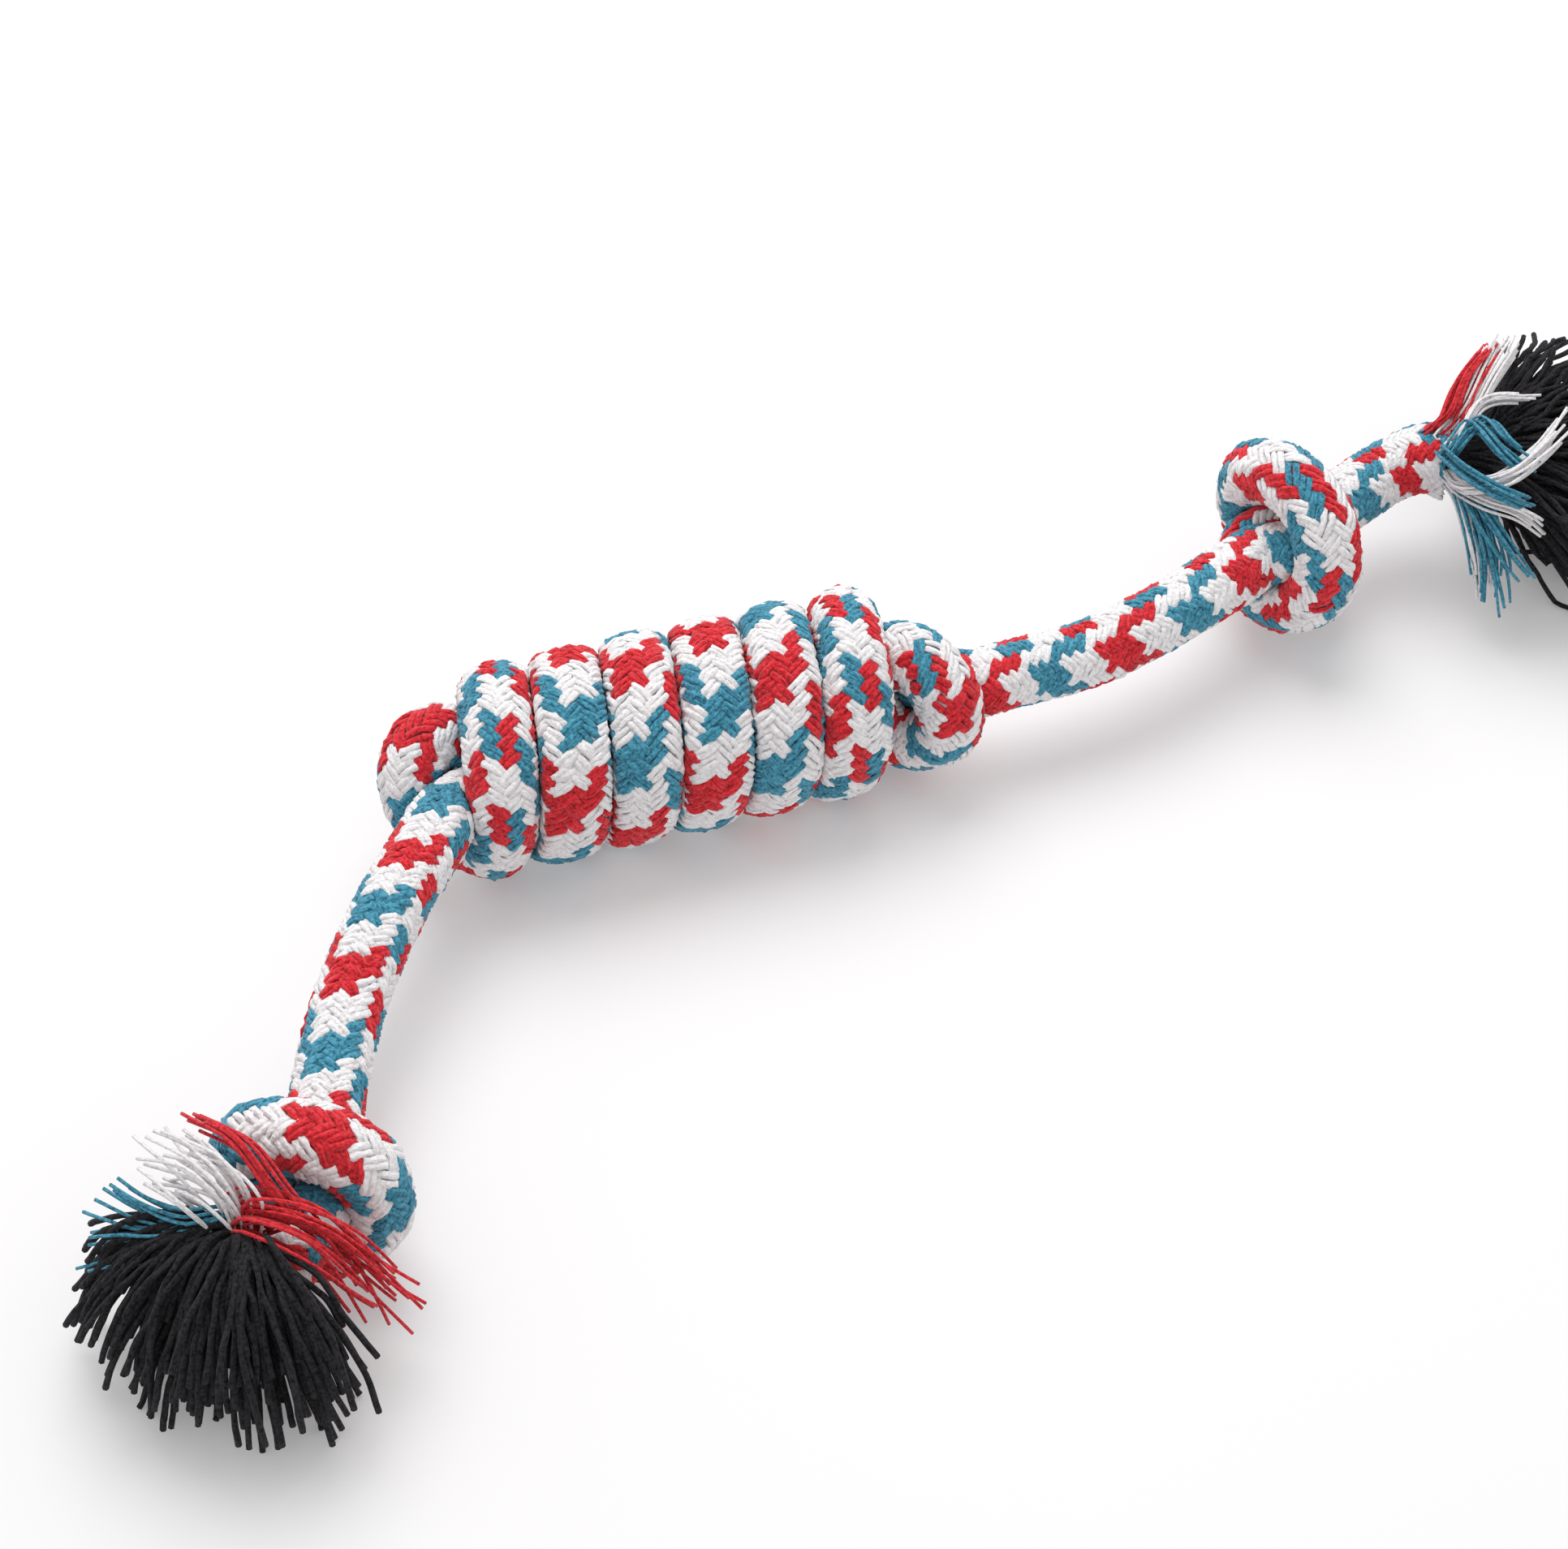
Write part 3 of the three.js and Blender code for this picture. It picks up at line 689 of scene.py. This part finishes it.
yarn_paths, yarn_outs, yarn_colours = braid_paths()
yarn_rings = rings_round(yarn_paths, yarn_outs, YARN_HALF_WIDTH, YARN_HALF_THICKNESS, YARN_SIDES)
yarn_rings += RNG.normal(0, YARN_ROUGHNESS, yarn_rings.shape)
yarn_rings[..., 2] = np.maximum(yarn_rings[..., 2], 0)
all_core_rings = core_rings()


# The rope in four parts, and the zone round a pivot for each

def bend_zone(stretch, share):
    """Where a free stretch starts and ends to bend round a pivot at a share of its length."""
    pivot = on_route(stretch, share)
    ahead = on_route(stretch, share + TANGENT_SHARE) - on_route(stretch, share - TANGENT_SHARE)
    ahead /= np.linalg.norm(ahead)
    return pivot - ahead * BEND_REACH, pivot + ahead * BEND_REACH


def rope_part(name, first, last, zone, exit_index, lay, far_end, nodes):
    """A length of the rope: its core, its sheath's yarns by colour, and facts about its path."""
    steps = slice(first, last + 1)
    along = line.along[steps]
    core = tube_object(f"{name}_core", all_core_rings[None, steps], YARN_MATERIALS["black"], along)
    pieces = [core]
    for colour in ("white", "red", "blue"):
        rings = yarn_rings[yarn_colours == colour][:, steps]
        pieces.append(tube_object(f"{name}_{colour}_yarns", rings, YARN_MATERIALS[colour], along))
    for piece in pieces:
        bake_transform(piece)
    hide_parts(*[node for node in nodes if node.endswith("_core")])
    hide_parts(*[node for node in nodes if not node.endswith("_core")])
    path = line.places[steps]
    facts = {
        "exit": line.places[exit_index],
        "length": length_of(path),
        "diameter": ROPE,
        "far_end": far_end,
        "stiffness": "medium",
        "lay": lay,
        "path": path,
    }
    return core, pieces[1:], facts


def stretch_nodes(side, *parts):
    return [f"{side}_run_{part}_{layer}" for part in parts for layer in ("sheath", "core")]


left_middle = line.nearest(on_route(left_stretch, (SWING_SHARE + LIFT_SHARE) / 2))
right_middle = line.nearest(on_route(right_stretch, (SWING_SHARE + LIFT_SHARE) / 2))
barrel_middle = (left_middle + right_middle) // 2

ropes = [
    rope_part("left_end", 0, left_middle,
              zone=bend_zone(left_stretch, LIFT_SHARE), exit_index=left_middle,
              lay="loose", far_end="knot",
              nodes=[*stretch_nodes("left", "middle", "outer"), "left_knot"]),
    rope_part("barrel_left", left_middle, barrel_middle,
              zone=bend_zone(left_stretch, SWING_SHARE), exit_index=barrel_middle,
              lay="coiled", far_end="object",
              nodes=[*stretch_nodes("left", "inner"), "barrel_knot"]),
    rope_part("barrel_right", barrel_middle, right_middle,
              zone=bend_zone(right_stretch, SWING_SHARE), exit_index=barrel_middle,
              lay="coiled", far_end="object",
              nodes=[*stretch_nodes("right", "inner"), "barrel_knot"]),
    rope_part("right_end", right_middle, line.count - 1,
              zone=bend_zone(right_stretch, LIFT_SHARE), exit_index=right_middle,
              lay="loose", far_end="knot",
              nodes=[*stretch_nodes("right", "middle", "outer"), "right_knot",
                     "right_stub_sheath", "right_stub_core"]),
]


# Tassels: the core's yarns, which rise from the neck, splay and droop, and tufts of the sheath's

class Neck:
    """Where the rope frays, with places in rope diameters: out past it, to its left, and up."""

    def __init__(self, place, towards):
        self.place = place
        out = np.array([towards[0], towards[1], 0]) / math.hypot(towards[0], towards[1])
        self.axes = np.array([out, np.cross([0, 0, 1], out), [0, 0, 1]])

    def direction(self, shares):
        return np.asarray(shares) @ self.axes

    def at(self, shares):
        return self.place + ROPE * self.direction(shares)


def splayed_directions(towards, count, widest):
    """Directions spread evenly over a cap round one direction."""
    towards = towards / np.linalg.norm(towards)
    side = np.cross([0, 0, 1], towards)
    side /= np.linalg.norm(side)
    up = np.cross(towards, side)
    share = (np.arange(count) + 0.5) / count
    polar = np.arccos(1 - share * (1 - math.cos(widest)))
    turn = math.pi * (3 - math.sqrt(5)) * np.arange(count)
    sideways = np.cos(turn)[:, None] * side + np.sin(turn)[:, None] * up
    return np.cos(polar)[:, None] * towards + np.sin(polar)[:, None] * sideways


def drooping(roots, rise, directions, lengths, sag):
    """Yarns that rise together from their roots, part in their directions and droop to the floor."""
    places = [roots]
    stretch = lengths / (BLACK_STEPS - 1)
    fall = np.zeros(len(roots))
    stray = np.zeros(directions.shape)
    rise_length = np.linalg.norm(rise)
    for i in range(BLACK_STEPS - 1):
        parted = np.minimum(stretch * i / rise_length, 1)[:, None] ** 2
        fall += sag * stretch * parted[:, 0]
        stray = STRAY_KEPT * stray + RNG.normal(0, STRAY, directions.shape) * parted
        towards = rise / rise_length * (1 - parted) + directions * parted + stray
        towards[:, 2] -= fall
        towards /= np.linalg.norm(towards, axis=1)[:, None]
        after = places[-1] + towards * stretch[:, None]
        after[:, 2] = np.maximum(after[:, 2], BLACK_YARN_RADIUS)
        places.append(after)
    return np.stack(places, 1)


def mop(name, neck, body, node, rise, axis, widest, length, sag):
    """The core's yarns: they rise, then splay up to widest degrees round an axis, and sag."""
    directions = splayed_directions(neck.direction(axis), BLACK_YARNS, math.radians(widest))
    directions[:, 2] = np.minimum(directions[:, 2], HIGHEST_SPLAY)
    out = neck.axes[0]
    across = directions - (directions @ out)[:, None] * out
    scatter = RNG.normal(0, ROOT_SCATTER, (BLACK_YARNS, 3))
    roots = neck.place + across * ROOT_SPREAD + scatter
    lengths = length * ROPE * RNG.uniform(*BLACK_LENGTH_SHARES, BLACK_YARNS)
    paths = drooping(roots, ROPE * neck.direction(rise), directions, lengths, sag / ROPE)
    thick = BLACK_YARN_RADIUS * np.linspace(*BLACK_THICKNESS_SHARES, BLACK_STEPS)
    outward = np.broadcast_to(YARN_UP, paths.shape)
    rings = rings_round(paths, outward, thick, thick, TASSEL_YARN_SIDES)
    piece = tube_object(name, rings, YARN_MATERIALS["black"], lengths_along(paths[0]))
    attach(piece, body)
    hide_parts(node)


def tuft(name, neck, body, node, colour, yarns, spreads, waypoints):
    """Yarns that follow one curve from the rope's rim, as far apart as spreads says at the root and
    at the tip."""
    rim = np.array([0, *waypoints[0][1:]])
    rim *= RIM_SHARE / np.linalg.norm(rim)
    spine = smooth([neck.at(rim), *[neck.at(shares) for shares in waypoints]], TUFT_CURVE_STEPS)
    along = lengths_along(spine)
    paths = []
    for _ in range(yarns):
        reach = along[-1] * RNG.uniform(SHORTEST_TUFT_SHARE, 1.0)
        at = np.linspace(0, reach, TUFT_STEPS)
        path = np.stack([np.interp(at, along, spine[:, k]) for k in range(3)], 1)
        share = (at / along[-1])[:, None]
        offset = RNG.normal(0, 1, 3)
        offset *= min(1, WIDEST_OFFSET / np.linalg.norm(offset))
        curl = RNG.normal(0, TUFT_CURL, 3)
        spread = spreads[0] * (1 - share) + spreads[1] * share ** SPREAD_POWER
        path += ROPE * (offset * spread + curl * spreads[1] * np.sin(math.pi * share))
        path[:, 2] = np.maximum(path[:, 2], TUFT_YARN_RADIUS)
        paths.append(path)
    paths = np.array(paths)
    outward = np.broadcast_to(YARN_UP, paths.shape)
    rings = rings_round(paths, outward, TUFT_YARN_RADIUS, TUFT_YARN_RADIUS, TASSEL_YARN_SIDES)
    lengths = np.linspace(0, along[-1], TUFT_STEPS)
    piece = tube_object(name, rings, YARN_MATERIALS[colour], lengths)
    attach(piece, body)
    if node:
        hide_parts(node)


left_neck = Neck(line.places[0], -line.directions[0])
right_neck = Neck(line.places[-1], line.directions[-1])

mop("left_tassel_yarns", left_neck, "left_arm", "left_tassel_core",
    rise=(-0.15, -0.3, 1.05), axis=(1, -0.08, -0.05), widest=79, length=3.4, sag=0.88)
mop("right_tassel_yarns", right_neck, "right_arm", "right_tassel_core",
    rise=(0.49, 0.13, 0.05), axis=(1, 0.44, 0.12), widest=58, length=3.4, sag=0.2)

# Each tuft's colour and number of yarns, how far they spread at the root and at the tip, and its
# middle line from the neck, in rope diameters
LEFT_TUFTS = {
    "red_lock": ("red", 16, (0.10, 0.09), (
        (-0.32, -0.14, 0.61), (-0.53, 0.22, 0.91), (-0.63, -0.07, 1.31), (-0.82, -0.56, 1.51),
        (-0.99, -1.40, 1.31))),
    "red_tuft": ("red", 30, (0.09, 0.32), (
        (-0.25, -0.30, 1.01), (-0.40, 0.18, 1.06), (-0.51, 0.68, 0.80), (-0.55, 1.19, 0.15),
        (-0.61, 1.50, -0.35))),
    "blue_tuft": ("blue", 9, (0.08, 0.16), (
        (-0.21, -0.45, 0.91), (0.09, -0.83, 1.01), (0.11, -1.39, 0.95), (0.04, -1.95, 1.01))),
    "low_blue_tuft": ("blue", 14, (0.10, 0.26), (
        (-0.21, -0.45, 0.91), (0.18, -0.92, 0.80), (0.31, -1.50, 0.60), (0.45, -2.11, 0.25))),
    "white_tuft": ("white", 34, (0.12, 0.34), (
        (-0.25, -0.36, 0.91), (-0.27, -0.51, 1.25), (-0.35, -0.85, 1.38), (-0.46, -1.47, 1.21))),
    "low_red_tuft": ("red", 5, (0.05, 0.10), (
        (0.20, 0.40, -0.20), (0.43, 0.87, -0.89), (0.50, 1.01, -1.09), (0.66, 1.22, -1.24))),
}
RIGHT_TUFTS = {
    "red_tuft": ("red", 26, (0.12, 0.1), (
        (-0.29, 0.03, 0.42), (-0.08, 0.12, 0.72), (0.06, 0.66, 1.02), (0.38, 1.37, 1.22))),
    "white_tuft": ("white", 22, (0.1, 0.16), (
        (-0.14, -0.12, 0.42), (0.13, 0.19, 0.72), (0.34, 0.86, 1.02), (0.56, 1.55, 1.22))),
    "white_curl": ("white", 9, (0.06, 0.08), (
        (0.05, -0.45, 0.52), (0.15, -0.22, 0.82), (0.39, 0.37, 0.92), (1.16, 0.65, 0.92))),
    "blue_band": ("blue", 22, (0.07, 0.08), (
        (-0.11, -0.42, 0.52), (0.28, -1.04, 0.72), (0.80, -1.34, 0.72), (1.30, -1.14, 0.42))),
    "blue_loop": ("blue", 18, (0.06, 0.12), (
        (0.02, -0.58, 0.62), (0.31, -0.15, 0.92), (0.74, -0.68, 1.02), (1.19, -0.83, 0.82))),
    "white_strings": ("white", 14, (0.08, 0.16), (
        (0.29, -1.03, 0.52), (0.82, -1.06, 0.82), (1.17, -0.62, 0.92), (1.57, 0.31, 0.92))),
    "hanging_tuft": ("blue", 24, (0.1, 0.24), (
        (0.23, -0.71, 0.22), (0.64, -1.37, 0.02), (0.87, -1.62, -0.52), (0.98, -1.70, -1.02))),
    "hanging_branch": ("blue", 9, (0.08, 0.14), (
        (0.23, -0.71, 0.22), (0.76, -1.43, 0.12), (1.18, -1.60, -0.28), (1.53, -1.60, -0.68))),
    "white_branch": ("white", 10, (0.07, 0.1), (
        (0.24, -0.87, 0.32), (0.72, -1.32, 0.52), (1.16, -1.31, 0.42), (1.65, -1.22, 0.02))),
    "white_hanging_tuft": ("white", 10, (0.08, 0.16), (
        (0.22, -0.70, 0.12), (0.57, -1.26, -0.18), (0.80, -1.45, -0.66), (0.88, -1.58, -1.00))),
}
for side, neck, tufts in (("left", left_neck, LEFT_TUFTS), ("right", right_neck, RIGHT_TUFTS)):
    for index, (name, look) in enumerate(tufts.items()):
        node = f"{side}_tassel_sheath" if index == 0 else None
        tuft(f"{side}_{name}", neck, f"{side}_arm", node, *look)


# Floor, light and tones

def lay_floor():
    material, nodes, links, shader = node_material("pale_floor")
    place = nodes.new("ShaderNodeTexCoord").outputs["Object"]
    mottling = noise(nodes, links, place, FLOOR_TONE_SCALE, FLOOR_TONE_DETAIL)
    links.new(ramp(nodes, links, mottling, FLOOR_TONES), shader.inputs["Base Color"])
    shader.inputs["Roughness"].default_value = FLOOR_ROUGHNESS
    # Painted light: the floor glows a little, which lightens the shadows cast on it
    shader.inputs["Emission Color"].default_value = WHITE
    shader.inputs["Emission Strength"].default_value = FLOOR_PAINTED_GLOW
    corners = [(x * FLOOR_HALF, y * FLOOR_HALF, 0) for x, y in ((-1, -1), (1, -1), (1, 1), (-1, 1))]
    mesh = bpy.data.meshes.new("floor")
    mesh.from_pydata(corners, [], [(0, 1, 2, 3)])
    mesh.materials.append(material)
    floor = bpy.data.objects.new("floor", mesh)
    bpy.context.scene.collection.objects.link(floor)


def light_scene():
    world = bpy.data.worlds.new("studio")
    world.use_nodes = True
    background = world.node_tree.nodes["Background"]
    background.inputs["Color"].default_value = WHITE
    background.inputs["Strength"].default_value = WORLD_STRENGTH
    bpy.context.scene.world = world
    data = bpy.data.lights.new("key", "AREA")
    data.shape = "DISK"
    data.size = KEY_SIZE
    data.energy = KEY_POWER
    light = bpy.data.objects.new("key", data)
    light.location = KEY_PLACE
    light.rotation_euler = (-Vector(KEY_PLACE)).to_track_quat("-Z", "Y").to_euler()
    bpy.context.scene.collection.objects.link(light)
    bpy.context.scene.view_settings.view_transform = "Standard"


lay_floor()
light_scene()
